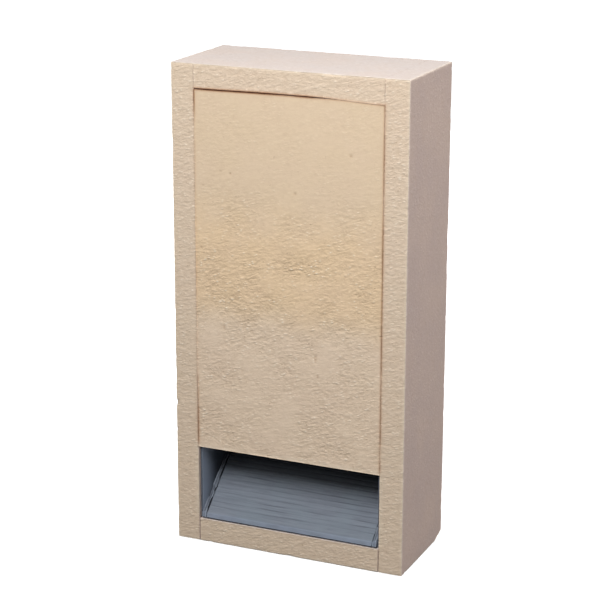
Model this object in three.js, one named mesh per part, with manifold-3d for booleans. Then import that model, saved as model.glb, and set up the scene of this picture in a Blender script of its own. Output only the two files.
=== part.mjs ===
// A bat box to be built into a wall: insulating boards around a roost of two crevices, entered by a ramp.
// Millimetres, +Z up, front faces -Y. The origin is the centre of the underside.
import * as THREE from "three";
import { mergeVertices } from "three/addons/utils/BufferGeometryUtils.js";
import { ConvexGeometry } from "three/addons/geometries/ConvexGeometry.js";
import Module from "manifold-3d";

// Driving dimensions
const BOX_WIDTH = 220;
const BOX_DEPTH = 102;
const BOX_HEIGHT = 440;
const BOARD = 22; // thickness of the insulating boards
const MOUTH_HEIGHT = 70;
const PLY = 3.6; // thickness of the grooved lining sheets
const SIDE_PLY = 2; // thickness of the plain side linings
const PARTITION = 9; // thickness of the roost partition
const RAMP_BOARD = 6; // thickness of the ramp
const RAMP_ANGLE = THREE.MathUtils.degToRad(40);

// Fits
const GLUE_LINE = 0.3; // between two glued pieces
const TOP_SEAM = 1; // open seam over the removable panel
const SIDE_SEAM = 0.5; // and down each side of it
const PANEL_SEAT = 0.3; // between the panel and what it stands on or stops against
const RAMP_GAP = 0.5; // each side of the ramp board
const RUN_GAP = 1; // between the panel's lining and the linings and battens it passes

// Edges of the insulating boards
const ARRIS = 0.8;
const KNOCK_DEPTH = 20; // broken lower rear corner of the right side board
const KNOCK_HEIGHT = 6;

// Grooves that give the bats a hold
const GROOVE_WIDTH = 1.4;
const GROOVE_DEPTH = 1;
const RAMP_GROOVE_PITCH = 5;
const LINING_GROOVE_PITCH = 10;
const GROOVE_MARGIN = 6; // ungrooved end of every sheet

// Ramp
const RAMP_NOSE = 4.2; // height of the ramp's front edge
const SETBACK = 0.5; // strips and ramp stand behind the box's front face by this
const LINING_SETBACK = 3.5; // side linings below the panel stand behind it by this
const STRIP = 4; // thickness of a ramp edge strip
const STRIP_HEIGHT = 10; // of the strip, square to the slope
const STRIP_PROUD = 1; // strip above the ramp's surface
const REST_DEPTH = 14; // batten under the ramp's upper end
const REST_HEIGHT = 12;

// Roost
const ENTRY_HEIGHT = 27; // from the ramp's highest edge up to the partition
const TOP_PASSAGE = 25; // over the partition
const SPACER_WIDTH = 10;

// Screws through spacer, partition and spacer
const SCREW_RADIUS = 1.75;
const SCREW_HEAD_RADIUS = 3.5;
const SCREW_HEAD_HEIGHT = 2.4;
const SCREW_BITE = 13.5; // in the rear spacer
const SCREW_POINT = 5;
const SCREW_SUNK = 0.4; // head below the spacer's face
const SCREW_CLEARANCE = 0.35;
const SCREW_END_DISTANCE = 32; // from the end of the spacer
const SCREW_SIDES = 16;
const RECESS_LENGTH = 3.6; // cross recess in the head
const RECESS_WIDTH = 0.8;
const RECESS_DEPTH = 1.2;
const CUT_OVERRUN = 2; // cutters run past the piece by this
const WELD_DISTANCE = 1e-4; // corners closer than this are one

// Places worked out from the sizes above
const HALF_WIDTH = BOX_WIDTH / 2;
const FRONT = -BOX_DEPTH / 2;
const BACK = BOX_DEPTH / 2;
const INNER_X = HALF_WIDTH - BOARD; // inner face of a side board
const FLOOR_Z = BOARD; // top of the bottom board
const MOUTH_TOP = FLOOR_Z + MOUTH_HEIGHT;
const CEILING_Z = BOX_HEIGHT - BOARD;
const PANEL_REAR = FRONT + BOARD;
const BACK_FACE = BACK - BOARD; // inner face of the back board

const LINING_OUTER_X = INNER_X - GLUE_LINE;
const LINING_INNER_X = LINING_OUTER_X - SIDE_PLY;
const LINING_FRONT = PANEL_REAR + PANEL_SEAT; // the panel stops against this edge
const SHOULDER_FRONT = FRONT + LINING_SETBACK; // the front edge below the panel
const LINING_BOTTOM = FLOOR_Z + GLUE_LINE;
const LINING_TOP = CEILING_Z - GLUE_LINE;
const INSIDE_X = LINING_INNER_X - GLUE_LINE; // half width of what stands between the side linings
const BACK_LINING_REAR = BACK_FACE - GLUE_LINE;
const BACK_LINING_FRONT = BACK_LINING_REAR - PLY;
const PANEL_LINING_FRONT = PANEL_REAR + GLUE_LINE;
const PANEL_LINING_REAR = PANEL_LINING_FRONT + PLY;

const RAMP_FRONT = FRONT + SETBACK;
const RAMP_REAR = BACK_LINING_FRONT - GLUE_LINE;
const STRIP_INNER_X = INSIDE_X - STRIP;
const RAMP_HALF_WIDTH = STRIP_INNER_X - RAMP_GAP;
const RAMP_SLOPE = Math.tan(RAMP_ANGLE);
const NOSE_Z = LINING_BOTTOM + RAMP_NOSE;

// Height of the ramp's surface at a depth y.
const surfaceZ = (y) => NOSE_Z + (y - RAMP_FRONT) * RAMP_SLOPE;
// A distance square to the slope, measured straight down.
const plumb = (distance) => distance / Math.cos(RAMP_ANGLE);
const undersideZ = (y) => surfaceZ(y) - plumb(RAMP_BOARD);
const stripTopZ = (y) => surfaceZ(y) + plumb(STRIP_PROUD);
const stripBottomZ = (y) => stripTopZ(y) - plumb(STRIP_HEIGHT);
const restTopZ = (y) => undersideZ(y) - plumb(GLUE_LINE);

const PARTITION_Y = (PANEL_LINING_REAR + BACK_LINING_FRONT) / 2;
const PARTITION_FRONT = PARTITION_Y - PARTITION / 2;
const PARTITION_REAR = PARTITION_Y + PARTITION / 2;
const PARTITION_BOTTOM = stripTopZ(RAMP_REAR) + ENTRY_HEIGHT;
const PARTITION_TOP = LINING_TOP - TOP_PASSAGE;
const SPACER_X = INSIDE_X - SPACER_WIDTH / 2;
const SPACER_FRONT = PANEL_LINING_REAR + RUN_GAP;
const SCREW_HEAD_Y = SPACER_FRONT + SCREW_SUNK;
const SCREW_LENGTH = PARTITION_REAR + GLUE_LINE + SCREW_BITE - SCREW_HEAD_Y;

// Finishes
const boardFinish = new THREE.MeshStandardMaterial({ color: 0xd9c2a8, roughness: 0.9, metalness: 0 });
const panelFinish = new THREE.MeshStandardMaterial({ color: 0xdbc3a7, roughness: 0.9, metalness: 0 });
const stainFinish = new THREE.MeshStandardMaterial({ color: 0x7d818a, roughness: 0.8, metalness: 0 });
const screwFinish = new THREE.MeshStandardMaterial({ color: 0xb9b4a6, roughness: 0.35, metalness: 1 });

const wasm = await Module();
wasm.setup();

// A closed geometry as a solid that can be cut.
function solidOf(geometry) {
  const bare = new THREE.BufferGeometry();
  const flat = geometry.index ? geometry.toNonIndexed() : geometry;
  bare.setAttribute("position", flat.getAttribute("position"));
  const merged = mergeVertices(bare, WELD_DISTANCE);
  return new wasm.Manifold(
    new wasm.Mesh({
      numProp: 3,
      vertProperties: merged.attributes.position.array,
      triVerts: new Uint32Array(merged.index.array),
    }),
  );
}

function geometryOf(solid) {
  const mesh = solid.getMesh();
  const geometry = new THREE.BufferGeometry();
  geometry.setAttribute("position", new THREE.BufferAttribute(mesh.vertProperties, 3));
  geometry.setIndex(new THREE.BufferAttribute(mesh.triVerts, 1));
  geometry.computeVertexNormals();
  return geometry;
}

function cut(geometry, ...cutters) {
  return geometryOf(cutters.reduce((solid, cutter) => solid.subtract(solidOf(cutter)), solidOf(geometry)));
}

// A block between two corners with every edge eased to a small flat.
function easedBlock(low, high, ease) {
  const points = [];
  for (const sx of [0, 1]) {
    for (const sy of [0, 1]) {
      for (const sz of [0, 1]) {
        const corner = [sx, sy, sz].map((side, axis) => (side ? high[axis] : low[axis]));
        const inward = [sx, sy, sz].map((side) => (side ? -ease : ease));
        for (let kept = 0; kept < corner.length; kept += 1) {
          const moved = corner.map((value, axis) => (axis === kept ? value : value + inward[axis]));
          points.push(new THREE.Vector3(...moved));
        }
      }
    }
  }
  return new ConvexGeometry(points);
}

function block(low, high) {
  const size = high.map((value, axis) => value - low[axis]);
  const geometry = new THREE.BoxGeometry(...size);
  return geometry.translate(...high.map((value, axis) => (value + low[axis]) / 2));
}

// A sheet or bar whose section, drawn as [y, z] points, runs across the box,
// halfWidth to each side of centreX.
function acrossBox(section, halfWidth, centreX = 0) {
  const shape = new THREE.Shape(section.map(([y, z]) => new THREE.Vector2(y, z)));
  const geometry = new THREE.ExtrudeGeometry(shape, { depth: 2 * halfWidth, bevelEnabled: false });
  // The shape's x, y and depth become the box's y, z and x.
  const turn = new THREE.Matrix4().makeBasis(
    new THREE.Vector3(0, 1, 0),
    new THREE.Vector3(0, 0, 1),
    new THREE.Vector3(1, 0, 0),
  );
  return geometry.applyMatrix4(turn).translate(centreX - halfWidth, 0, 0);
}

// The points of a grooved edge from start to end, both [y, z], with the grooves cut to its left.
function groovedEdge(start, end, pitch) {
  const from = new THREE.Vector2(...start);
  const along = new THREE.Vector2(...end).sub(from);
  const length = along.length();
  along.normalize();
  const inward = new THREE.Vector2(-along.y, along.x);
  const grooves = Math.floor((length - 2 * GROOVE_MARGIN - GROOVE_WIDTH) / pitch) + 1;
  const first = (length - (grooves - 1) * pitch - GROOVE_WIDTH) / 2;
  const point = (distance, depth) => [
    from.x + along.x * distance + inward.x * depth,
    from.y + along.y * distance + inward.y * depth,
  ];
  const points = [start];
  for (let groove = 0; groove < grooves; groove += 1) {
    const near = first + groove * pitch;
    const far = near + GROOVE_WIDTH;
    points.push(point(near, 0), point(near, GROOVE_DEPTH), point(far, GROOVE_DEPTH), point(far, 0));
  }
  points.push(end);
  return points;
}

const group = new THREE.Group();

function add(name, geometry, material) {
  const mesh = new THREE.Mesh(geometry, material);
  mesh.name = name;
  group.add(mesh);
}

// Insulating boards
function sideBoard(side) {
  const low = [Math.min(side * INNER_X, side * HALF_WIDTH), FRONT, 0];
  const high = [Math.max(side * INNER_X, side * HALF_WIDTH), BACK, BOX_HEIGHT];
  return easedBlock(low, high, ARRIS);
}

// A wedge below and behind the broken corner: its upper face is the break.
function knockedCorner() {
  const breakStart = [BACK - KNOCK_DEPTH, 0];
  const breakEnd = [BACK, KNOCK_HEIGHT];
  const slope = KNOCK_HEIGHT / KNOCK_DEPTH;
  const section = [
    [breakStart[0] - CUT_OVERRUN, -CUT_OVERRUN * slope],
    [breakStart[0] - CUT_OVERRUN, -KNOCK_HEIGHT],
    [breakEnd[0] + CUT_OVERRUN, -KNOCK_HEIGHT],
    [breakEnd[0] + CUT_OVERRUN, breakEnd[1] + CUT_OVERRUN * slope],
  ];
  return acrossBox(section, BOARD / 2 + CUT_OVERRUN, (INNER_X + HALF_WIDTH) / 2);
}

const BETWEEN_SIDES = INNER_X - GLUE_LINE;
add("left_side_board", sideBoard(-1), boardFinish);
add("right_side_board", cut(sideBoard(1), knockedCorner()), boardFinish);
add(
  "top_board",
  easedBlock([-BETWEEN_SIDES, FRONT, CEILING_Z], [BETWEEN_SIDES, BACK, BOX_HEIGHT], ARRIS),
  boardFinish,
);
add(
  "bottom_board",
  easedBlock([-BETWEEN_SIDES, FRONT, 0], [BETWEEN_SIDES, BACK, FLOOR_Z], ARRIS),
  boardFinish,
);
add(
  "back_board",
  easedBlock(
    [-BETWEEN_SIDES, BACK_FACE, FLOOR_Z + GLUE_LINE],
    [BETWEEN_SIDES, BACK, CEILING_Z - GLUE_LINE],
    ARRIS,
  ),
  boardFinish,
);

// The removable front panel and the lining glued to its rear
const PANEL_HALF_WIDTH = INNER_X - SIDE_SEAM;
const PANEL_TOP = CEILING_Z - TOP_SEAM;
const PANEL_LINING_HALF_WIDTH = LINING_INNER_X - RUN_GAP;
add(
  "front_panel",
  easedBlock([-PANEL_HALF_WIDTH, FRONT, MOUTH_TOP], [PANEL_HALF_WIDTH, PANEL_REAR, PANEL_TOP], ARRIS),
  panelFinish,
);
add(
  "panel_lining",
  acrossBox(
    [
      [PANEL_LINING_FRONT, PANEL_TOP],
      [PANEL_LINING_FRONT, MOUTH_TOP],
      ...groovedEdge([PANEL_LINING_REAR, MOUTH_TOP], [PANEL_LINING_REAR, PANEL_TOP], LINING_GROOVE_PITCH),
    ],
    PANEL_LINING_HALF_WIDTH,
  ),
  stainFinish,
);

// Side linings, stepped so that the panel stands on their shoulders and stops against their front edges
for (const [name, side] of [
  ["left_side_lining", -1],
  ["right_side_lining", 1],
]) {
  const shoulder = MOUTH_TOP - PANEL_SEAT;
  const section = [
    [SHOULDER_FRONT, LINING_BOTTOM],
    [BACK_LINING_REAR, LINING_BOTTOM],
    [BACK_LINING_REAR, LINING_TOP],
    [LINING_FRONT, LINING_TOP],
    [LINING_FRONT, shoulder],
    [SHOULDER_FRONT, shoulder],
  ];
  add(name, acrossBox(section, SIDE_PLY / 2, (side * (LINING_INNER_X + LINING_OUTER_X)) / 2), stainFinish);
}

add(
  "back_lining",
  acrossBox(
    [
      [BACK_LINING_REAR, LINING_BOTTOM],
      [BACK_LINING_REAR, LINING_TOP],
      ...groovedEdge(
        [BACK_LINING_FRONT, LINING_TOP],
        [BACK_LINING_FRONT, LINING_BOTTOM],
        LINING_GROOVE_PITCH,
      ),
    ],
    INSIDE_X,
  ),
  stainFinish,
);

// Ramp: it stands on the bottom board and rises from its nose to the back lining
const SEAT_END = RAMP_FRONT + (LINING_BOTTOM - undersideZ(RAMP_FRONT)) / RAMP_SLOPE;
add(
  "ramp_board",
  acrossBox(
    [
      [RAMP_FRONT, LINING_BOTTOM],
      [SEAT_END, LINING_BOTTOM],
      [RAMP_REAR, undersideZ(RAMP_REAR)],
      ...groovedEdge([RAMP_REAR, surfaceZ(RAMP_REAR)], [RAMP_FRONT, NOSE_Z], RAMP_GROOVE_PITCH),
    ],
    RAMP_HALF_WIDTH,
  ),
  stainFinish,
);

// Strips on edge, along both sides of the ramp, against the side linings
const STRIP_SEAT_END = RAMP_FRONT + (LINING_BOTTOM - stripBottomZ(RAMP_FRONT)) / RAMP_SLOPE;
for (const [name, side] of [
  ["left_ramp_strip", -1],
  ["right_ramp_strip", 1],
]) {
  const section = [
    [RAMP_FRONT, LINING_BOTTOM],
    [STRIP_SEAT_END, LINING_BOTTOM],
    [RAMP_REAR, stripBottomZ(RAMP_REAR)],
    [RAMP_REAR, stripTopZ(RAMP_REAR)],
    [RAMP_FRONT, stripTopZ(RAMP_FRONT)],
  ];
  add(name, acrossBox(section, STRIP / 2, (side * (INSIDE_X + STRIP_INNER_X)) / 2), stainFinish);
}

// Batten on the back lining that carries the ramp's upper end
const REST_FRONT = RAMP_REAR - REST_DEPTH;
add(
  "ramp_rest",
  acrossBox(
    [
      [REST_FRONT, restTopZ(REST_FRONT) - REST_HEIGHT],
      [RAMP_REAR, restTopZ(REST_FRONT) - REST_HEIGHT],
      [RAMP_REAR, restTopZ(RAMP_REAR)],
      [REST_FRONT, restTopZ(REST_FRONT)],
    ],
    RAMP_HALF_WIDTH,
  ),
  stainFinish,
);

// A countersunk screw along +Y whose head's face is at y = 0. Grown by a clearance it is the hole for it.
function screwShape(clearance) {
  const radius = SCREW_RADIUS + clearance;
  const head = SCREW_HEAD_RADIUS + clearance;
  const profile = [
    [0, -clearance],
    [head, -clearance],
    [head, clearance],
    [radius, SCREW_HEAD_HEIGHT + clearance],
    [radius, SCREW_LENGTH - SCREW_POINT + clearance],
    [0, SCREW_LENGTH + 2 * clearance],
  ];
  const points = profile.map(([r, y]) => new THREE.Vector2(r, y));
  return new THREE.LatheGeometry(points, SCREW_SIDES);
}

function screw() {
  const recess = [
    [RECESS_LENGTH, RECESS_WIDTH],
    [RECESS_WIDTH, RECESS_LENGTH],
  ].map(([x, z]) => block([-x / 2, -RECESS_DEPTH, -z / 2], [x / 2, RECESS_DEPTH, z / 2]));
  return cut(screwShape(0), ...recess);
}

const SCREW_LEVELS = [PARTITION_BOTTOM + SCREW_END_DISTANCE, PARTITION_TOP - SCREW_END_DISTANCE];
const screwPlaces = [];
for (const [level, z] of [
  ["lower", SCREW_LEVELS[0]],
  ["upper", SCREW_LEVELS[1]],
]) {
  screwPlaces.push({ name: level + "_left_screw", x: -SPACER_X, z });
  screwPlaces.push({ name: level + "_right_screw", x: SPACER_X, z });
}

// The holes of the screws that stand between two values of x.
function screwHoles(lowX, highX) {
  const mouth = SCREW_HEAD_RADIUS + SCREW_CLEARANCE;
  const holes = [];
  for (const { x, z } of screwPlaces.filter((place) => place.x > lowX && place.x < highX)) {
    holes.push(screwShape(SCREW_CLEARANCE).translate(x, SCREW_HEAD_Y, z));
    // The countersink opens out to the spacer's face.
    const opening = new THREE.CylinderGeometry(mouth, mouth, SCREW_SUNK + CUT_OVERRUN, SCREW_SIDES);
    holes.push(opening.translate(x, SPACER_FRONT + (SCREW_SUNK - CUT_OVERRUN) / 2, z));
  }
  return holes;
}

add(
  "roost_partition",
  cut(
    acrossBox(
      [
        ...groovedEdge(
          [PARTITION_REAR, PARTITION_BOTTOM],
          [PARTITION_REAR, PARTITION_TOP],
          LINING_GROOVE_PITCH,
        ),
        ...groovedEdge(
          [PARTITION_FRONT, PARTITION_TOP],
          [PARTITION_FRONT, PARTITION_BOTTOM],
          LINING_GROOVE_PITCH,
        ),
      ],
      INSIDE_X,
    ),
    ...screwHoles(-INSIDE_X, INSIDE_X),
  ),
  stainFinish,
);

// Battens that hold the partition's edges, in front of it and behind it
for (const [name, side] of [
  ["left", -1],
  ["right", 1],
]) {
  const lowX = side * SPACER_X - SPACER_WIDTH / 2;
  const highX = side * SPACER_X + SPACER_WIDTH / 2;
  const holes = screwHoles(lowX, highX);
  const frontSpacer = block(
    [lowX, SPACER_FRONT, PARTITION_BOTTOM],
    [highX, PARTITION_FRONT - GLUE_LINE, PARTITION_TOP],
  );
  const rearSpacer = block(
    [lowX, PARTITION_REAR + GLUE_LINE, PARTITION_BOTTOM],
    [highX, BACK_LINING_FRONT - GLUE_LINE, PARTITION_TOP],
  );
  add(name + "_front_spacer", cut(frontSpacer, ...holes), stainFinish);
  add(name + "_rear_spacer", cut(rearSpacer, ...holes), stainFinish);
}

for (const { name, x, z } of screwPlaces) {
  add(name, screw().translate(x, SCREW_HEAD_Y, z), screwFinish);
}

export default group;
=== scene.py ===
# A bat box of insulating boards round a stained and grooved roost. Metres, +Z up, front facing -Y.
import math

import bpy
import numpy as np
from mathutils import Matrix, Vector


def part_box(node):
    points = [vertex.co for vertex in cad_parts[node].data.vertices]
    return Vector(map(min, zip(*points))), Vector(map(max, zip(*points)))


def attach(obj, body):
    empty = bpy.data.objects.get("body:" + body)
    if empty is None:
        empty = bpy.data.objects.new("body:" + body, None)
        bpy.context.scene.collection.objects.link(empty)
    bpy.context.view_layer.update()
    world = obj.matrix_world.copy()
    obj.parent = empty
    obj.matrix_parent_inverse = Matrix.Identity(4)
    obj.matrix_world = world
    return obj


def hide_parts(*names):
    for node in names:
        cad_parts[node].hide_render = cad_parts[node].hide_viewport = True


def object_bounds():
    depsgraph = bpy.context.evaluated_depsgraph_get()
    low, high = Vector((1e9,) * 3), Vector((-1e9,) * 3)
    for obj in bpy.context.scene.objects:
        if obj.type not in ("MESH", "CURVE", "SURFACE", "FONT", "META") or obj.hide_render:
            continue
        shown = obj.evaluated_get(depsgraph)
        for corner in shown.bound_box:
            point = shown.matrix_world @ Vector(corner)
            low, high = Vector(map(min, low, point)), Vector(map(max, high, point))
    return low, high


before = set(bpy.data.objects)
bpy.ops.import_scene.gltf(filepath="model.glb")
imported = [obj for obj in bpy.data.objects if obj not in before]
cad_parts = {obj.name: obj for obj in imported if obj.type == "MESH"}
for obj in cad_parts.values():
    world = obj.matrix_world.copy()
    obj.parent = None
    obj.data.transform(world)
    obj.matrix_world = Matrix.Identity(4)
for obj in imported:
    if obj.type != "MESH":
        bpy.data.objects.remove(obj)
cad_box = [list(corner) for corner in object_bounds()]

MM = 0.001
BOX_LOW, BOX_HIGH = (np.array(corner) for corner in cad_box)
PANEL_LOW, PANEL_HIGH = (np.array(corner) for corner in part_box("front_panel"))

# Boards
BOARD_GRID = 1.25 * MM  # spacing of the surface points
BACK_GRID = 1.5 * MM
GLUE_LINE = 0.3 * MM  # gap at the boards' joints, which a board fills or widens by a share
CLOSE_EASE = 0.05 * MM  # arris at a joint that is filled flush, and at the panel's seam
OPEN_EASE = 0.6 * MM  # arris at a joint that shows
OUTER_ARRIS = 1.3 * MM  # rounding of the box's own edges
ARRIS_SWING = 0.2  # share by which that rounding swells and shrinks
ARRIS_WAVE = 14 * MM  # and over what length
SKIN_BAND = 0.1 * MM  # a point this close to the box's faces is on its outside
MOUTH_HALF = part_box("right_side_board")[0][0]
MOUTH_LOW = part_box("bottom_board")[1][2]
CHIP_REACH = 4 * MM  # how far in from an edge it is worn
CHIP_DEPTH = 0.45 * MM
CHIP_SIZE = 7 * MM
WORN_DEPTH = 0.1 * MM  # unevenness right at an edge
WORN_SIZE = 3 * MM
CUT_COARSENESS = 0.55  # share of the relief on a cut face
FRONT_COARSENESS = 0.6  # and added to it in front
PEEL_DEPTH = 0.2 * MM  # orange-peel skin
PEEL_SPACING = 4.2 * MM
RIPPLE_SIZE = np.array([3.5, 3.5, 2.2]) * MM
SAW_DEPTH = 0.2 * MM  # saw marks on the front faces
SAW_SIZE = np.array([10, 10, 2.3]) * MM
PIT_DEPTH = 0.3 * MM
PIT_RADIUS = 0.9 * MM
PIT_SPACING = 8 * MM
PIT_CHANCE = 0.2
GRAIN_LEAN = 0.3  # rise of the grain to the right
KNOCK_DEPTH = 20 * MM  # broken lower rear corner of the right side board
KNOCK_HEIGHT = 6 * MM
KNOCK_REACH = 4 * KNOCK_HEIGHT  # height up to which the surface gives way to it
KNOCK_ROUGHNESS = 1.2 * MM
KNOCK_LUMP = 4 * MM

# Front panel
BAND_MIDDLE = 258 * MM  # height of the coarse, orange-tinted band
BAND_HALF = 40 * MM
PANEL_COARSENESS = 0.48  # share of the relief on the panel's upper part
BAND_COARSENESS = 1.45  # added to it from the band downwards
FOOT_COARSENESS = 0.35  # and taken off again below the band
COARSE_PATCH = 18 * MM  # size of the patches in which it comes and goes
SIDE_SEAM = MOUTH_HALF - PANEL_HIGH[0]
TOP_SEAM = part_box("top_board")[0][2] - PANEL_HIGH[2]
SEAM_LIFT = 0.6 * MM  # of the top seam at its left end
SEAM_BOW = 0.95 * MM  # and further up towards the middle
SEAM_DIP = 1.75 * MM  # and down again to the right
DIP_START = 0.35 * PANEL_HIGH[0]  # from here to the panel's right end
SEAM_TRIM = 0.05 * MM  # by which the top seam is narrower than the gap between the boards
SEAM_PINCH = 0.65 * MM  # and narrower still where it is nearly closed
PINCH_START = 0.3 * PANEL_HIGH[0]  # it closes from here
PINCH_END = 0.55 * PANEL_HIGH[0]  # to here
SEAM_REACH = 20 * MM  # over which the top seam's bow dies away
LEFT_SWELLING = 0.48 * MM  # of the panel into the left seam, between these two heights
SWELL_LOW = 155 * MM
SWELL_HIGH = 386 * MM
SWELL_START = 10 * MM  # height over which it grows
SWELL_END = 16 * MM  # and dies away
LEFT_CLOSING = 0.2 * MM  # of the panel into the left seam above and below that stretch
RIGHT_CLOSING = 0.26 * MM
CLOSING_WAVE = 9 * MM  # height over which the closing at the right varies
SWELL_POWER = 12  # how steeply the swelling grows towards the panel's edge
SEAM_STAIN = 0.4 * MM  # reach of the brown stain beside the seam
SEAM_DEPTH = 8 * MM  # and into it
SEAM_LIP = 1 * MM  # depth at which it begins to fade
STAIN_LOW = PANEL_LOW[2] - 2 * MM  # the stain begins between these two heights
STAIN_FULL = PANEL_LOW[2] + 4 * MM
STAIN_HEAD = 20 * MM  # height below the panel's top over which it gets stronger
CLEAN_START = -40 * MM  # from the panel's top: the nearly closed part turns cleaner from here
CLEAN_END = -5 * MM  # to here

# Stained ply
PLY_GRID = 2 * MM
PLY_EASE = 0.25 * MM
SHEET_STEP = 0.5 * MM  # along a grooved face
SHEET_ACROSS = 4 * MM
BATTEN_STEP = 1 * MM
RAMP_STEP = 0.35 * MM
RAMP_ACROSS = 1.2 * MM
GRAIN_DEPTH = 0.06 * MM
GRAIN_ACROSS = np.array([12, 1.3, 1.3]) * MM  # size of the grain where it runs across
GRAIN_UPRIGHT = np.array([1.5, 2.5, 14]) * MM
DARK_END_AND_UNDERCUT = 2.2  # hollow mask of a lining's cut end, darker than a groove, and of the painted shade under the ramp's nose
BITE_GRAIN = 1.5  # and of a bite
RUBBED_REACH = 2 * MM  # how far in from an edge the stain is rubbed
RIM_RUB_AND_LIGHT_PATCH = 6 * MM  # size of the patches in which the ramp's rim is rubbed and painted lighter
GROOVE_MARGIN = 6 * MM
GROOVE_WIDTH = 1.4 * MM
GROOVE_DEPTH = 0.9 * MM
LINING_PITCH = 10 * MM
RAMP_PITCH = 5 * MM
RAMP_GROOVE_DEPTH = 0.35 * MM
GROOVE_WANDER = 0.55 * MM
WANDER_SIZE = np.array([28, 6, 6]) * MM
FAINT_SIZE = np.array([22, 5, 5]) * MM  # of the stretches on which a groove is faint
PANEL_SEAT = 0.3 * MM  # gap between the front panel and the side linings

# Ramp
RAMP_NOSE = 4.2 * MM
RAMP_BOARD = 6 * MM
RAMP_UNDERCUT = 1.5 * MM  # under the nose
NOSE_BEVEL = 1 * MM  # depth of the steeper stretch at the nose
STRIP_HEIGHT = 10 * MM
STRIP_PROUD = 1 * MM
BITE_DEPTH = 1.2 * MM  # chewed out of the strips' upper sides
BITE_SIZE = np.array([3, 5, 5]) * MM
BITE_ASIDE = 0.9 * MM  # and out of the edges beside them
ASIDE_SIZE = 4.5 * MM


# Numbers that look random but are the same each run

def hashed(cells, seed):
    """A number from 0 to 1 for each whole-number cell: its coordinates and the seed, multiplied by
    large odd numbers, combined and folded over."""
    x, y, z = cells.astype(np.uint64).T
    mixed = x * np.uint64(73856093) ^ y * np.uint64(19349663) ^ z * np.uint64(83492791)
    mixed ^= np.uint64(seed * 2654435761 + 97)
    mixed = (mixed ^ (mixed >> np.uint64(15))) * np.uint64(2246822519)
    mixed = (mixed ^ (mixed >> np.uint64(13))) * np.uint64(3266489917)
    mixed ^= mixed >> np.uint64(16)
    return (mixed & np.uint64(0xFFFFFF)).astype(float) / 0xFFFFFF


def noise(points, size, seed):
    """From -1 to 1: a number at each corner of a cube of the given size, blended between corners by
    the smooth step 3t^2 - 2t^3. The size may differ along x, y and z."""
    scaled = points / size
    cell = np.floor(scaled).astype(np.int64)
    part = scaled - cell
    blend = part * part * (3 - 2 * part)
    total = np.zeros(len(points))
    for corner in np.ndindex(2, 2, 2):
        share = np.prod(np.where(corner, blend, 1 - blend), axis=1)
        total += share * hashed(cell + np.array(corner), seed)
    return 2 * total - 1


def strewn(points, spacing, seed):
    """One spot strewn in every cube of the spacing. For the 27 cubes round each point in turn: its
    distance from the spot, and the spot's own number from 0 to 1."""
    scaled = points / spacing
    cell = np.floor(scaled).astype(np.int64)
    for step in np.ndindex(3, 3, 3):
        near = cell + np.array(step) - 1
        spot = near + np.stack([hashed(near, seed + axis) for axis in (1, 2, 3)], axis=1)
        yield np.linalg.norm(scaled - spot, axis=1) * spacing, hashed(near, seed)


def domes(points, spacing, seed):
    """Low domes side by side: 1 at each strewn spot, falling with the distance from the nearest."""
    nearest = np.full(len(points), spacing)
    for distance, _ in strewn(points, spacing, seed):
        nearest = np.minimum(nearest, distance)
    return 1 - nearest / spacing


def pits(points, spacing, radius, chance, seed):
    """Round hollows at some of the strewn spots: 1 in the middle, 1 - (distance / radius)^2 within
    the radius, which the spot's own number makes smaller or larger."""
    deepest = np.zeros(len(points))
    for distance, number in strewn(points, spacing, seed):
        own = radius * (0.5 + 0.9 * number / chance)
        hollow = np.clip(1 - (distance / own) ** 2, 0, 1)
        deepest = np.maximum(deepest, np.where(number < chance, hollow, 0))
    return deepest


def smooth(value, start, end):
    """0 before start, 1 after end and the smooth step between them."""
    share = np.clip((value - start) / (end - start), 0, 1)
    return share * share * (3 - 2 * share)


# Surfaces

def grid_lines(low, high, spacing, ease):
    """Places from low to high: both ends, and even steps between the places one ease in."""
    steps = max(2, round((high - low) / spacing) + 1)
    return np.concatenate([[low], np.linspace(low + ease, high - ease, steps), [high]])


def skin_of_cells(lines, filled):
    """The skin of the filled cells of a grid with lines along x, y and z: points, faces and which
    way each point looks.

    Along each axis a face stands wherever a cell and its neighbour differ, and its corners run so
    that it looks out of the filled one. Every other face begins one corner further on, so that the
    diagonals they are drawn with take turns. A point looks along the signs of its faces'
    directions summed.
    """
    shape = [len(places) for places in lines]
    padded = np.pad(filled.astype(np.int8), 1)
    quads, looks = [], []
    units = np.eye(3, dtype=int)
    for axis in range(3):
        along_u, along_v = units[(axis + 1) % 3], units[(axis + 2) % 3]
        change = np.diff(padded, axis=axis)
        for step, turn in ((-1, 1), (1, -1)):
            corner = np.argwhere(change == step) - 1
            corner[:, axis] += 1
            far = corner + along_u + along_v
            ring = np.stack([corner, corner + along_u, far, corner + along_v], axis=1)
            odd = corner.sum(axis=1)[:, None, None] % 2 == 1
            quads.append(np.where(odd, np.roll(ring, 1, axis=1), ring)[:, ::turn])
            looks.append(np.tile(turn * units[axis], (len(ring), 1)))
    quads, looks = np.concatenate(quads), np.concatenate(looks)
    flat = np.ravel_multi_index(quads.reshape(-1, 3).T, shape)
    kept, faces = np.unique(flat, return_inverse=True)
    index = np.stack(np.unravel_index(kept, shape), axis=1)
    points = np.stack([lines[axis][index[:, axis]] for axis in range(3)], axis=1)
    facing = np.zeros_like(points)
    np.add.at(facing, faces.reshape(-1), np.repeat(looks, 4, axis=0))
    return points, faces.reshape(-1, 4), np.sign(facing)


def eased(points, facing, ease):
    """Points on an edge or a corner drawn in to the middle of a round of the given radius: by
    ease (1 - 1 / sqrt n) along each of the n directions they look."""
    count = np.abs(facing).sum(axis=1, keepdims=True)
    return points - facing * ease * (1 - 1 / np.sqrt(count)), facing / np.sqrt(count)


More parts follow.
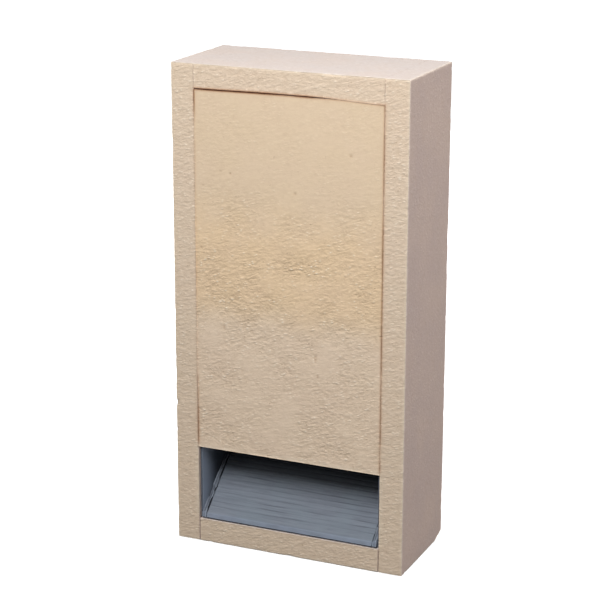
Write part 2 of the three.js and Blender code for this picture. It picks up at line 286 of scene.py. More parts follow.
def block_skin(low, high, spacing, ease):
    """A block between two corners with eased edges: points, faces and outward directions."""
    lines = [grid_lines(low[axis], high[axis], spacing, ease) for axis in range(3)]
    points, faces, facing = skin_of_cells(lines, np.ones([len(places) - 1 for places in lines]))
    points, outward = eased(points, facing, ease)
    return points, faces, outward


def section_loop(corners, steps, ease):
    """Points round a section with [y, z] corners, its sides in steps of the given lengths, each
    corner eased by the middle of the curve between the places one ease away from it.

    Gives the points, their outward directions, the number of the side that each is on, and its
    distance along that side.
    """
    corners = np.array(corners)
    ahead = np.roll(corners, -1, axis=0) - corners
    lengths = np.linalg.norm(ahead, axis=1)
    ahead /= lengths[:, None]
    outward = np.stack([-ahead[:, 1], ahead[:, 0]], axis=1)
    points, looks, sides, along = [], [], [], []
    for side, (start, length) in enumerate(zip(corners, lengths)):
        after = (side + 1) % len(corners)
        places = np.linspace(ease, length - ease, max(2, round(length / steps[side]) + 1))
        points += [start + places[:, None] * ahead[side]]
        points += [corners[after][None] + ease / 4 * (ahead[after] - ahead[side])]
        looks += [np.tile(outward[side], (len(places), 1)), (outward[side] + outward[after])[None]]
        sides += [np.full(len(places) + 1, side)]
        along += [places, [length]]
    looks = np.concatenate(looks)
    looks /= np.linalg.norm(looks, axis=1)[:, None]
    return np.concatenate(points), looks, np.concatenate(sides), np.concatenate(along)


def ring_faces(rings, count):
    """The faces of a skin made of rings with the same count of points: one between each two
    neighbours of a ring and the next ring, and a flat end on the first ring and on the last."""
    ring, spot = np.meshgrid(np.arange(rings - 1), np.arange(count), indexing="ij")
    here, after = ring * count + spot, ring * count + (spot + 1) % count
    quads = np.stack([here, here + count, after + count, after], axis=-1).reshape(-1, 4)
    last = (rings - 1) * count
    return quads.tolist() + [list(range(count)), list(range(last + count - 1, last - 1, -1))]


def swept_skin(loop, low_x, high_x, step_x, ease):
    """A section loop carried across the box from low_x to high_x. The two end rings are drawn in by
    the ease, and the ring between them and the full section by what a quarter round leaves.

    Gives points, faces, outward directions, and each point's side and distance along it.
    """
    points, looks, sides, along = loop
    middle = ease * (1 - 1 / math.sqrt(2))
    inner = np.linspace(low_x + ease, high_x - ease, max(2, round((high_x - low_x) / step_x) + 1))
    places = np.concatenate([[low_x, low_x + middle], inner, [high_x - middle, high_x]])
    inset = np.zeros(len(places))
    inset[[0, -1]] = ease
    inset[[1, -2]] = middle
    rings = points[None] - inset[:, None, None] * looks[None]
    across = np.broadcast_to(places[:, None, None], rings.shape[:2] + (1,))
    outward = np.concatenate([np.zeros((len(points), 1)), looks], axis=1)
    return (
        np.concatenate([across, rings], axis=2).reshape(-1, 3),
        ring_faces(len(places), len(points)),
        np.tile(outward, (len(places), 1)),
        np.tile(sides, len(places)),
        np.tile(along, len(places)),
    )


def make_piece(node, points, faces, body, material, masks):
    """A smooth-shaded piece riding on a body in place of a CAD node, with masks as attributes."""
    name = node + "_finished"
    mesh = bpy.data.meshes.new(name)
    mesh.from_pydata(points.tolist(), [], faces if isinstance(faces, list) else faces.tolist())
    mesh.shade_smooth()
    for key, values in masks.items():
        attribute = mesh.attributes.new(key, "FLOAT", "POINT")
        attribute.data.foreach_set("value", values.astype(np.float32))
    mesh.materials.append(material)
    piece = bpy.data.objects.new(name, mesh)
    bpy.context.scene.collection.objects.link(piece)
    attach(piece, body)
    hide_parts(node)


# Nodes

def place(tree, kind, inputs=None, **settings):
    """A new node. Settings are its properties; an input is a number, a colour or another output."""
    new = tree.nodes.new(kind)
    for key, value in settings.items():
        setattr(new, key, value)
    for key, value in (inputs or {}).items():
        if isinstance(value, bpy.types.NodeSocket):
            tree.links.new(value, new.inputs[key])
        else:
            new.inputs[key].default_value = value
    return new


def calculate(tree, operation, first, second=0.0):
    return place(tree, "ShaderNodeMath", {0: first, 1: second}, operation=operation).outputs[0]


def times(tree, first, second):
    return calculate(tree, "MULTIPLY", first, second)


def mixed(tree, share, first, second):
    """Two colours mixed by a share from 0 to 1."""
    inputs = {0: share, 6: first, 7: second}
    return place(tree, "ShaderNodeMix", inputs, data_type="RGBA").outputs[2]


def tinted(tree, tone, mask, amount, tint):
    """A tone mixed with a tint by a mask times an amount."""
    return mixed(tree, times(tree, mask, amount), tone, tint)


def ranged(tree, value, start, end, low=0.0, high=1.0):
    """A value carried smoothly from start..end to low..high."""
    inputs = {"Value": value, "From Min": start, "From Max": end, "To Min": low, "To Max": high}
    return place(tree, "ShaderNodeMapRange", inputs, interpolation_type="SMOOTHSTEP").outputs[0]


def noise_value(tree, vector, scale, detail=2.0, roughness=0.5):
    inputs = {"Vector": vector, "Scale": scale, "Detail": detail, "Roughness": roughness}
    return place(tree, "ShaderNodeTexNoise", inputs).outputs["Fac"]


def stretched(tree, vector, scale):
    """The coordinates multiplied by a scale along each axis."""
    return place(tree, "ShaderNodeMapping", {"Vector": vector, "Scale": scale}).outputs[0]


def mask_of(tree, name):
    """A mask that a piece carries as an attribute."""
    return place(tree, "ShaderNodeAttribute", attribute_name=name).outputs["Fac"]


def new_group(name, inputs, outputs):
    """A node group with named sockets: (name, kind, default) in and (name, kind) out."""
    group = bpy.data.node_groups.new(name, "ShaderNodeTree")
    for label, kind, default in inputs:
        socket = group.interface.new_socket(name=label, in_out="INPUT", socket_type=kind)
        if default is not None:
            socket.default_value = default
    for label, kind in outputs:
        group.interface.new_socket(name=label, in_out="OUTPUT", socket_type=kind)
    given, result = group.nodes.new("NodeGroupInput"), group.nodes.new("NodeGroupOutput")
    return group, given.outputs, result.inputs


def srgb(red, green, blue):
    """A colour given in 0..255 display values, as the linear colour that a socket holds."""
    values = np.array([red, green, blue]) / 255
    linear = np.where(values <= 0.04045, values / 12.92, ((values + 0.055) / 1.055) ** 2.4)
    return (*linear.tolist(), 1.0)


NUMBER, COLOUR, VECTOR = "NodeSocketFloat", "NodeSocketColor", "NodeSocketVector"
CLOUD_SCALE = 22.0  # patterns on the boards, in cells for each metre
GRAIN_SCALE = 300.0
MOTTLE_SCALE = 260.0
SPECK_SCALE = 140.0
FINE_SCALE = 700.0
PATCH_SCALE = 35.0  # and on the stained ply
RAMP_GRAIN = (22.0, 420.0, 420.0)  # along x, y and z
STRIP_GRAIN = (520.0, 30.0, 30.0)
LINING_GRAIN = (420.0, 420.0, 22.0)
ZINC_CLOUDS = 400.0  # and on the screws
SCRATCH_SCALE = (900.0, 6000.0, 900.0)
BAND_RAGGED = 40 * MM  # height over which the clouds shift the band's edges
CORE_HALF = 0.4 * MM  # half the thickness of the ply's dark middle layer
MATT = 0.1  # specular level of board and stain
RAMP_SHADE_DEPTHS = (-16 * MM, 4 * MM)  # depths between which painted shade darkens the stain towards the rear of the roost
LINING_SHADE_DEPTHS = (-46 * MM, -16 * MM)
FOAM_BUMP = 0.25 * MM  # depth of the fine relief on each finish
PLY_BUMP = 0.1 * MM
ZINC_BUMP = 0.02 * MM

# Tones of the boards
BOARD_SKIN = srgb(233, 213, 190)
PANEL_SKIN = srgb(232, 209, 179)
# the foot and band are lighter than the skin: partly their own tone, partly painted light for the
# light falling off lower down
PANEL_FOOT = srgb(241, 220, 197)
PANEL_BAND = srgb(243, 215, 178)
CUT_FACE = srgb(204, 184, 177)
# the top's tone: painted paler and greyer than the cut faces, for the light and sheen on it
PAINTED_LIGHT_TOP_FACE = srgb(219, 208, 203)
BOARD_CLOUD = srgb(231, 206, 186)
BOARD_MOTTLE = srgb(194, 168, 137)
DARK_SPECK = srgb(172, 144, 112)
# painted highlights on the tops of the grains
PAINTED_GLINT = srgb(255, 244, 226)
SEAM_ORANGE = srgb(216, 160, 106)
SEAM_BROWN = srgb(122, 66, 22)
BOARD_PIT = srgb(166, 128, 90)
BOARD_EDGE = srgb(243, 231, 210)

# Tones of the stained ply
DARK_STREAK = srgb(119, 125, 136)
PALE_STREAK = srgb(136, 143, 154)
STAIN_PATCH = srgb(132, 145, 155)
PLY_PORE = srgb(82, 86, 96)
PALER_STAIN = srgb(166, 178, 198)
PLY_CORE = srgb(70, 72, 84)
# painted shade for the deep, unlit part of the roost
PAINTED_ROOST_SHADE = srgb(34, 37, 45)
PLY_GROOVE = srgb(78, 82, 92)
# pale rubbed edges; on the ramp's nose rim also painted light
RUBBED_AND_LIT_EDGE = srgb(158, 170, 192)

# Tones of the screws
ZINC = srgb(205, 202, 192)
YELLOWED_ZINC = srgb(196, 186, 160)
DULL_ZINC = srgb(120, 116, 106)


def foam_grain_group():
    """Foam board: broad clouds, flattened, leaning domed grains some 3 mm wide in a mottle that is
    darker between them, dark specks, pale specks that are painted highlights on the grains, and the
    relief that goes with them."""
    group, given, result = new_group(
        "foam_grain",
        [("Vector", VECTOR, None), ("Coarseness", NUMBER, 1.0)],
        [(name, NUMBER) for name in ("Cloud", "Mottle", "Speck", "Glint", "Height")],
    )
    vector = given["Vector"]
    turn = (0.0, math.atan(GRAIN_LEAN), 0.0)
    leaning = place(group, "ShaderNodeMapping", {"Vector": vector, "Rotation": turn}).outputs[0]
    flattened = stretched(group, leaning, (0.8, 1.0, 1.6))
    inputs = {"Vector": flattened, "Scale": GRAIN_SCALE, "Randomness": 1.0}
    from_middle = place(group, "ShaderNodeTexVoronoi", inputs).outputs["Distance"]
    mottle = noise_value(group, flattened, MOTTLE_SCALE, 3.0, 0.6)
    mottle = ranged(group, mottle, 0.34, 0.66, 0.0, 0.6)
    between = times(group, ranged(group, from_middle, 0.15, 0.75), 0.4)
    mottle = calculate(group, "ADD", mottle, between)
    dot = ranged(group, from_middle, 0.0, 0.4, 1.0, 0.0)
    chosen = noise_value(group, vector, SPECK_SCALE, 1.0)
    dark = times(group, dot, ranged(group, chosen, 0.56, 0.66))
    # pale specks on the grains' middles: painted highlights
    pale = times(group, dot, ranged(group, chosen, 0.5, 0.4))
    fine = times(group, noise_value(group, flattened, FINE_SCALE, 2.0, 0.6), 0.6)
    height = calculate(group, "ADD", times(group, mottle, -1.0), fine)
    height = calculate(group, "ADD", height, times(group, pale, 0.5))
    height = calculate(group, "SUBTRACT", height, times(group, dark, 0.5))
    group.links.new(noise_value(group, vector, CLOUD_SCALE, 3.0), result["Cloud"])
    for name, value in (("Mottle", mottle), ("Speck", dark), ("Glint", pale), ("Height", height)):
        group.links.new(times(group, value, given["Coarseness"]), result[name])
    return group


def wood_grain_group():
    """Rough-sawn veneer: streaks and pores drawn out along the grain, given in coordinates that are
    stretched beforehand, and the relief that goes with them."""
    outputs = [(name, NUMBER) for name in ("Streak", "Pore", "Height")]
    group, given, result = new_group("wood_grain", [("Vector", VECTOR, None)], outputs)
    streak = noise_value(group, given["Vector"], 1.0, 4.0, 0.6)
    pore = ranged(group, noise_value(group, given["Vector"], 3.1), 0.56, 0.72)
    height = calculate(group, "SUBTRACT", streak, times(group, pore, 0.6))
    for name, value in (("Streak", streak), ("Pore", pore), ("Height", height)):
        group.links.new(value, result[name])
    return group


def wear_group():
    """A colour darkened in hollows and lightened on worn edges, each by its mask and amount."""
    group, given, result = new_group(
        "wear",
        [
            ("Color", COLOUR, (0.8, 0.8, 0.8, 1.0)),
            ("Hollow", NUMBER, 0.0),
            ("Hollow Color", COLOUR, (0.2, 0.2, 0.2, 1.0)),
            ("Edge", NUMBER, 0.0),
            ("Edge Color", COLOUR, (0.9, 0.9, 0.9, 1.0)),
        ],
        [("Color", COLOUR)],
    )
    darker = mixed(group, given["Hollow"], given["Color"], given["Hollow Color"])
    group.links.new(mixed(group, given["Edge"], darker, given["Edge Color"]), result["Color"])
    return group


FOAM_GRAIN, WOOD_GRAIN, WEAR = foam_grain_group(), wood_grain_group(), wear_group()


def grouped(tree, group, inputs):
    """A node group placed with its own values."""
    return place(tree, "ShaderNodeGroup", inputs, node_tree=group).outputs


def new_material(name):
    """A material with its nodes, its shader and the object's coordinates."""
    material = bpy.data.materials.new(name)
    material.use_nodes = True
    tree = material.node_tree
    where = place(tree, "ShaderNodeTexCoord").outputs["Object"]
    return material, tree, tree.nodes["Principled BSDF"], where


def worn(tree, tone, hollow, hollow_tone, edge, edge_tone):
    """A tone with the wear on it, by the given amounts of the piece's own masks."""
    inputs = {
        "Color": tone,
        "Hollow": times(tree, mask_of(tree, "hollow"), hollow),
        "Hollow Color": hollow_tone,
        "Edge": times(tree, mask_of(tree, "edge"), edge),
        "Edge Color": edge_tone,
    }
    return grouped(tree, WEAR, inputs)["Color"]


def dress(tree, shader, tone, roughness, height, distance, strength):
    """Puts a tone, a roughness and a relief of the given depth and strength on a shader."""
    inputs = {"Height": height, "Distance": distance, "Strength": strength}
    bump = place(tree, "ShaderNodeBump", inputs).outputs[0]
    for socket, value in (("Base Color", tone), ("Roughness", roughness), ("Normal", bump)):
        tree.links.new(value, shader.inputs[socket])


def board_finish(name, face_tone, panel=False):
    """Foam board: a warm skin in front, pinker cut faces, painted paler and greyer on top for the
    light and sheen there, clouds, mottle, dark specks, pale specks painted as highlights on the
    grains, dark pits, pale worn edges, a stain along the panel's seam, brown close by and orange
    further out, and, on the panel, an orange band above a greyer foot, both made lighter than the
    skin partly as painted light for the light falling off lower down."""
    material, tree, shader, where = new_material(name)
    grain = grouped(tree, FOAM_GRAIN, {"Vector": where, "Coarseness": mask_of(tree, "coarse")})
    # painted light: the upward faces get the paler, greyer top tone
    tone = mixed(tree, mask_of(tree, "upper"), CUT_FACE, PAINTED_LIGHT_TOP_FACE)
    tone = mixed(tree, mask_of(tree, "front"), tone, face_tone)
    if panel:
        height = place(tree, "ShaderNodeSeparateXYZ", {0: where}).outputs[2]
        ragged = times(tree, calculate(tree, "SUBTRACT", grain["Cloud"], 0.5), BAND_RAGGED)
        height = calculate(tree, "ADD", height, ragged)
        places = [BAND_MIDDLE + share * BAND_HALF for share in (-1.4, -0.3, 0.5, 2.0)]
        rise = ranged(tree, height, *places[:2])
        fall = ranged(tree, height, *places[2:], 1.0, 0.0)
        foot = calculate(tree, "SUBTRACT", 1.0, rise)
        # greyer foot and orange band, both partly painted lighter for the light falling off lower
        # down
        tone = tinted(tree, tone, foot, 0.8, PANEL_FOOT)
        tone = tinted(tree, tone, rise, fall, PANEL_BAND)
    stain = times(tree, mask_of(tree, "seam"), ranged(tree, grain["Cloud"], 0.25, 0.6))
    for mask, amount, tint in (
        (ranged(tree, grain["Cloud"], 0.3, 0.7), 0.2, BOARD_CLOUD),
        (grain["Mottle"], 0.2, BOARD_MOTTLE),
        (grain["Speck"], 0.5, DARK_SPECK),
        # painted highlights on the grain tops
        (grain["Glint"], 0.5, PAINTED_GLINT),
        (calculate(tree, "POWER", stain, 0.35), 0.3, SEAM_ORANGE),
        (stain, 0.9, SEAM_BROWN),
    ):
        tone = tinted(tree, tone, mask, amount, tint)
    tone = worn(tree, tone, 0.6, BOARD_PIT, 0.4, BOARD_EDGE)
    rough = ranged(tree, grain["Mottle"], 0.0, 1.0, 0.82, 0.97)
    dress(tree, shader, tone, rough, grain["Height"], FOAM_BUMP, 1.0)
    shader.inputs["Specular IOR Level"].default_value = MATT
    return material


def stained_finish(name, grain_scale, shade_depths, core=None, paler=0.0):
    """Ply under a thin blue-grey stain: grain streaks, open pores, darker grooves and rubbed edges,
    on the ramp's nose rim partly painted light.

    Between the two shade depths the stain is darkened with painted shade, where the roost lies in
    shadow. A core is the distance from the box's middle at which a strip's edge shows the ply's
    dark middle layer. Paler is the share of a lighter stain.
    """
    material, tree, shader, where = new_material(name)
    grain = grouped(tree, WOOD_GRAIN, {"Vector": stretched(tree, where, grain_scale)})
    streak = ranged(tree, grain["Streak"], 0.3, 0.7)
    tone = mixed(tree, streak, DARK_STREAK, PALE_STREAK)
    patch = ranged(tree, noise_value(tree, where, PATCH_SCALE, 3.0), 0.35, 0.7)
    tone = tinted(tree, tone, patch, 0.4, STAIN_PATCH)
    tone = tinted(tree, tone, grain["Pore"], 0.2, PLY_PORE)
    if paler:
        tone = mixed(tree, paler, tone, PALER_STAIN)
    across, depth, _ = place(tree, "ShaderNodeSeparateXYZ", {0: where}).outputs
    if core:
        from_core = calculate(tree, "SUBTRACT", calculate(tree, "ABSOLUTE", across), core)
        from_core = calculate(tree, "ABSOLUTE", from_core)
        layer = ranged(tree, from_core, CORE_HALF, 2 * CORE_HALF, 1.0, 0.0)
        tone = tinted(tree, tone, layer, 0.6, PLY_CORE)
    # painted shade: darker towards the rear, where the panel and walls keep the light out of the
    # roost
    tone = tinted(tree, tone, ranged(tree, depth, *shade_depths), 0.9, PAINTED_ROOST_SHADE)
    tone = worn(tree, tone, 0.4, PLY_GROOVE, 0.5, RUBBED_AND_LIT_EDGE)
    rough = ranged(tree, grain["Streak"], 0.2, 0.8, 0.65, 0.85)
    dress(tree, shader, tone, rough, grain["Height"], PLY_BUMP, 0.6)
    shader.inputs["Specular IOR Level"].default_value = MATT
    return material


def zinc_finish():
    """Bright zinc plate on a screw: faint yellow clouds, fine scratches and duller hollows."""
    material, tree, shader, where = new_material("zinc_plate")
    cloud = ranged(tree, noise_value(tree, where, ZINC_CLOUDS), 0.35, 0.65)
    tone = mixed(tree, cloud, ZINC, YELLOWED_ZINC)
    tone = worn(tree, tone, 1.0, DULL_ZINC, 0.0, ZINC)
    scratch = noise_value(tree, stretched(tree, where, SCRATCH_SCALE), 1.0)
    rough = ranged(tree, cloud, 0.0, 1.0, 0.28, 0.45)
    dress(tree, shader, tone, rough, scratch, ZINC_BUMP, 0.5)
    shader.inputs["Metallic"].default_value = 1.0
    return material


BOARD_FINISH = board_finish("insulating_board", BOARD_SKIN)
PANEL_FINISH = board_finish("panel_board", PANEL_SKIN, panel=True)
# The grain runs across on the ramp and its rest, to the rear on the strips, and upright elsewhere.
RAMP_FINISH = stained_finish("stained_ramp", RAMP_GRAIN, RAMP_SHADE_DEPTHS)
STRIP_CORE = sum(corner[0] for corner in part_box("right_ramp_strip")) / 2
STRIP_FINISH = stained_finish("stained_strip", STRIP_GRAIN, RAMP_SHADE_DEPTHS, core=STRIP_CORE)
LINING_FINISH = stained_finish("stained_lining", LINING_GRAIN, LINING_SHADE_DEPTHS, paler=0.8)
ZINC_FINISH = zinc_finish()


# Boards

def sunk_along(points, outward):
    """The directions that the relief sinks points against: outward, but without an axis on which a
    point isn't on the box's own outside, so that joints and seams keep their width."""
    outside = (points < BOX_LOW + SKIN_BAND) | (points > BOX_HIGH - SKIN_BAND)
    kept = np.where(outside, outward, 0)
    return kept / np.maximum(np.linalg.norm(kept, axis=1, keepdims=True), 0.01)


def outline_rounded(points, outward):
    """Points outside the box with rounded arrises are brought in to it, to the arris radius from
    the nearest point of the box drawn in by that radius, and look away from there. The radius
    swells and shrinks along the edge."""
    radius = OUTER_ARRIS * (1 + ARRIS_SWING * noise(points, ARRIS_WAVE, 11))[:, None]
    nearest = np.clip(points, BOX_LOW + radius, BOX_HIGH - radius)
    away = points - nearest
    reach = np.linalg.norm(away, axis=1, keepdims=True)
    direction = away / np.maximum(reach, radius * 0.01)
    outside = reach > radius
    rounded = np.where(outside, nearest + direction * radius, points)
    return rounded, np.where(outside, direction, outward)


def edge_closeness(points):
    """1 at the box's edges, falling to 0 at the chip reach, and at the mouth's upper and side
    edges, falling half as fast. A point's distance from the box's edges is the second smallest of
    those to its faces along x, y and z."""
    outer = np.sort(np.minimum(points - BOX_LOW, BOX_HIGH - points), axis=1)[:, 1]
    x, y, z = points.T
    aside = np.abs(np.maximum(np.abs(x) - MOUTH_HALF, z - PANEL_LOW[2]))
    by_mouth = (z > MOUTH_LOW + CHIP_REACH) & (z < PANEL_LOW[2] + CHIP_REACH)
    mouth = np.where(by_mouth, np.maximum(aside, y - BOX_LOW[1]) / 2, CHIP_REACH)
    return np.clip(1 - np.minimum(outer, mouth) / CHIP_REACH, 0, 1)


def pinched(x):
    """1 on the right part of the seam over the panel, which is nearly closed, and 0 on the left."""
    return smooth(x, PINCH_START, PINCH_END)


def top_seam(x):
    """The seam over the panel: how far its middle lies above a level line, and how much narrower it
    is than the boards' own gap. It bows upwards, then dips towards the right."""
    bow = SEAM_BOW * smooth(x, PANEL_LOW[0], 0)
    dip = SEAM_DIP * smooth(x, DIP_START, PANEL_HIGH[0])
    return SEAM_LIFT + bow - dip, SEAM_TRIM + SEAM_PINCH * pinched(x)


def swelling(z):
    """1 over the height at which the panel swells into the left seam, and 0 above and below it."""
    grown = smooth(z, SWELL_LOW, SWELL_LOW + SWELL_START)
    return grown * smooth(z, SWELL_HIGH + SWELL_END, SWELL_HIGH)


def seam_closeness(points):
    """1 in the panel's seam in front, falling with the distance from it. The lower part of the seam
    is cleaner, and so are the parts that are nearly closed."""
    x, y, z = points.T
    aside, above = np.abs(x) - PANEL_HIGH[0], z - PANEL_HIGH[2]
    beyond = np.maximum(aside, above)
    distance = np.maximum(-beyond, beyond - np.where(above > aside, TOP_SEAM, SIDE_SEAM))
    distance = np.maximum(distance, 0)
    behind = np.maximum(y - BOX_LOW[1] - SEAM_LIP, 0)
    fouled = smooth(z, STAIN_LOW, STAIN_FULL)
    fouled *= 0.6 + 0.4 * smooth(above, -STAIN_HEAD, 0)
    fouled *= 1 - 0.5 * pinched(x) * smooth(above, CLEAN_START, CLEAN_END)
    fouled *= 1 - 0.8 * swelling(z) * smooth(x, PANEL_HIGH[0], PANEL_LOW[0])
    return np.exp(-distance / SEAM_STAIN) * np.exp(-behind / SEAM_DEPTH) * fouled


# Dents at the edges in millimetres: x, y, z, radius and depth
DENTS = [(-110, -51, 131, 2.6, 1.3), (-88, -51, 89, 1.6, 0.9), (110, -51, 330, 1.8, 0.7)]


def board_relief(points, outward, coarseness, seed):
    """How deep the surface lies below the board's own: orange peel, leaning saw marks in front,
    pits, and wear, chips and dents along the edges. Gives the depth and the masks of hollows and
    worn edges."""
    front = np.clip(-outward[:, 1], 0, 1)
    leaning = points - GRAIN_LEAN * points[:, :1] * np.array([0, 0, 1])
    peel = 1 - domes(leaning * [1, 1, 1.3], PEEL_SPACING, seed)
    ripple = 0.5 + 0.5 * noise(leaning, RIPPLE_SIZE, seed + 11)
    saw = 0.5 + 0.5 * noise(leaning, SAW_SIZE, seed + 21)
    hollow = pits(points, PIT_SPACING, PIT_RADIUS, PIT_CHANCE, seed + 31)
    close = edge_closeness(points)
    chip = smooth(noise(points, CHIP_SIZE, seed + 41), 0.3, 0.7) * smooth(close, 0.2, 1)
    depth = coarseness * (PEEL_DEPTH * (peel + ripple) + SAW_DEPTH * front * saw)
    depth += PIT_DEPTH * hollow + CHIP_DEPTH * chip
    depth += WORN_DEPTH * close**2 * (0.5 + 0.5 * noise(points, WORN_SIZE, seed + 51))
    for x, y, z, radius, dent_depth in DENTS:
        near = np.exp(-(np.linalg.norm(points / MM - (x, y, z), axis=1) / radius) ** 2)
        depth += dent_depth * MM * near
        chip = np.maximum(chip, near)
    return depth, np.clip(0.7 * hollow + 0.25 * (peel - 0.5), 0, 1), np.maximum(close**3, chip)


def board_masks(points, outward, coarseness, hollow, edge):
    return {
        "front": np.clip(-outward[:, 1], 0, 1),
        "upper": np.clip(outward[:, 2], 0, 1),
        "coarse": coarseness,
        "hollow": hollow,
        "edge": edge,
        "seam": seam_closeness(points),
    }


def board(name, spacing, seed, ease=OPEN_EASE, filled=(0, 0, 0), warp=None):
    """A shell board: its block, made longer by the filled share of the glue lines, a warp if it has
    one, the box's rounded arrises and the surface relief."""
    low, high = (np.array(corner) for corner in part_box(name))
    longer = np.array(filled) * GLUE_LINE
    points, faces, outward = block_skin(low - longer, high + longer, spacing, ease)
    coarseness = CUT_COARSENESS + FRONT_COARSENESS * np.clip(-outward[:, 1], 0, 1)
    depth, hollow, edge = board_relief(points, outward, coarseness, seed)
    masks = board_masks(points, outward, coarseness, hollow, edge)
    outward = sunk_along(points, outward)
    if warp:
        points = warp(points)
    points, outward = outline_rounded(points, outward)
    points = points - outward * depth[:, None]
    make_piece(name, points, faces, "box", BOARD_FINISH, masks)


def bowed_edge(points):
    """The top board's lower side moved with the seam over the panel, but straight at the rear."""
    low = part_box("top_board")[0][2]
    rise, narrowing = top_seam(np.clip(points[:, 0], PANEL_LOW[0], PANEL_HIGH[0]))
    lift = smooth(points[:, 2], low + SEAM_REACH, low) * (rise - narrowing / 2)
    lift *= smooth(points[:, 1], PANEL_HIGH[1] + SEAM_REACH, PANEL_HIGH[1])
    return points + lift[:, None] * np.array([0, 0, 1])


def broken_corner(points):
    """The lower rows drawn up over the break, which rises to the rear: z + rise (1 - z / reach)."""
    run = (points[:, 1] - (BOX_HIGH[1] - KNOCK_DEPTH)) / KNOCK_DEPTH
    rough = KNOCK_ROUGHNESS * noise(points, KNOCK_LUMP, 61) * smooth(run, 0, 0.3)
    rise = KNOCK_HEIGHT * np.clip(run, 0, 1) + np.abs(rough)
    rise *= np.clip(1 - points[:, 2] / KNOCK_REACH, 0, 1)
    return points + rise[:, None] * np.array([0, 0, 1])


# Small marks on the panel's face in millimetres: x, z, half length, half width, and lean
PANEL_NICKS = [
    (26.7, 190, 3.2, 0.9, 0.05),
    (28.5, 174, 1.4, 0.8, 0.0),
    (-61, 208, 1.2, 1.0, 0.2),
    (7, 335, 1.0, 1.0, 0.0),
    (-54, 347, 0.9, 0.9, 0.0),
    (58, 372, 1.0, 1.0, 0.0),
]
NICK_DEPTH = 0.7 * MM


def front_panel():
    """The removable panel: its edges swell into the seams, most of all at the left, its top edge
    follows the seam's bow, and its skin is coarse in the band and fine above it."""
    high = PANEL_HIGH
    points, faces, outward = block_skin(PANEL_LOW, high, BOARD_GRID, CLOSE_EASE)
    x, z = points[:, 0], points[:, 2]
    band = smooth(z, BAND_MIDDLE + 2.2 * BAND_HALF, BAND_MIDDLE + 0.4 * BAND_HALF)
    foot = smooth(z, BAND_MIDDLE - BAND_HALF, BAND_MIDDLE - 1.6 * BAND_HALF)
    coarseness = PANEL_COARSENESS + BAND_COARSENESS * band - FOOT_COARSENESS * foot
    coarseness *= 0.75 + 0.5 * noise(points, COARSE_PATCH, 5)
    depth, hollow, edge = board_relief(points, outward, coarseness, 3)
    for at_x, at_z, long, wide, lean in PANEL_NICKS:
        along, across = z / MM - at_z, x / MM - at_x - lean * (z / MM - at_z)
        nick = np.exp(-((along / long) ** 2) - (across / wide) ** 2) * np.clip(-outward[:, 1], 0, 1)
        depth += NICK_DEPTH * nick
        hollow = np.maximum(hollow, nick)
    share = x / high[0]
    left = LEFT_CLOSING + (LEFT_SWELLING - LEFT_CLOSING) * swelling(z)
    left *= np.clip(-share, 0, 1) ** SWELL_POWER
    right = RIGHT_CLOSING * (0.85 + 0.15 * noise(points * [0, 0, 1], CLOSING_WAVE, 71))
    right *= np.clip(share, 0, 1) ** SWELL_POWER
    rise, narrowing = top_seam(x)
    top = smooth(z, high[2] - SEAM_REACH, high[2]) * (rise + narrowing / 2)
    masks = board_masks(points, outward, coarseness, hollow, edge)
    outward = sunk_along(points, outward)
    points = points + np.stack([right - left, np.zeros_like(left), top], axis=1)
    points = points - outward * depth[:, None]
    make_piece("front_panel", points, faces, "panel", PANEL_FINISH, masks)


# Stained ply

def groove_relief(along, length, pitch, depth, points, seed):
    """Rounded grooves across a side of the given length, as many as fit between the margins: depth
    (1 - (2 distance / width)^2) near each middle line, which wanders a little."""
    count = math.floor((length - 2 * GROOVE_MARGIN - GROOVE_WIDTH) / pitch) + 1
    first = (length - (count - 1) * pitch) / 2
    moved = along + GROOVE_WANDER * noise(points, WANDER_SIZE, seed)
    number = np.clip(np.round((moved - first) / pitch), 0, count - 1)
    distance = np.abs(moved - first - number * pitch)
    cut = np.clip(1 - (2 * distance / GROOVE_WIDTH) ** 2, 0, 1)
    strength = np.clip(0.8 + 0.7 * noise(points, FAINT_SIZE, seed + 1), 0.2, 1.3)
    return depth * cut * strength, cut * strength


def chewed(points, upper, low_x, high_x, seed):
    """Bites along a strip's upper side: the points moved in from its two edges, each where its own
    noise passes a threshold, and the share of the bite's depth at each point."""
    middle = (low_x + high_x) / 2
    share = (points[:, 0] - middle) / (high_x - middle)
    to_right = np.sign(share)[:, None] * np.array([1, 0, 0])
    aside = smooth(noise(points * [0, 1, 1] + to_right, ASIDE_SIZE, seed + 5), -0.2, 0.6)
    aside *= BITE_ASIDE * np.abs(share) ** 4 * upper
    bite = smooth(noise(points, BITE_SIZE, seed + 6), 0.1, 0.7) * upper
    return points - aside[:, None] * to_right, bite


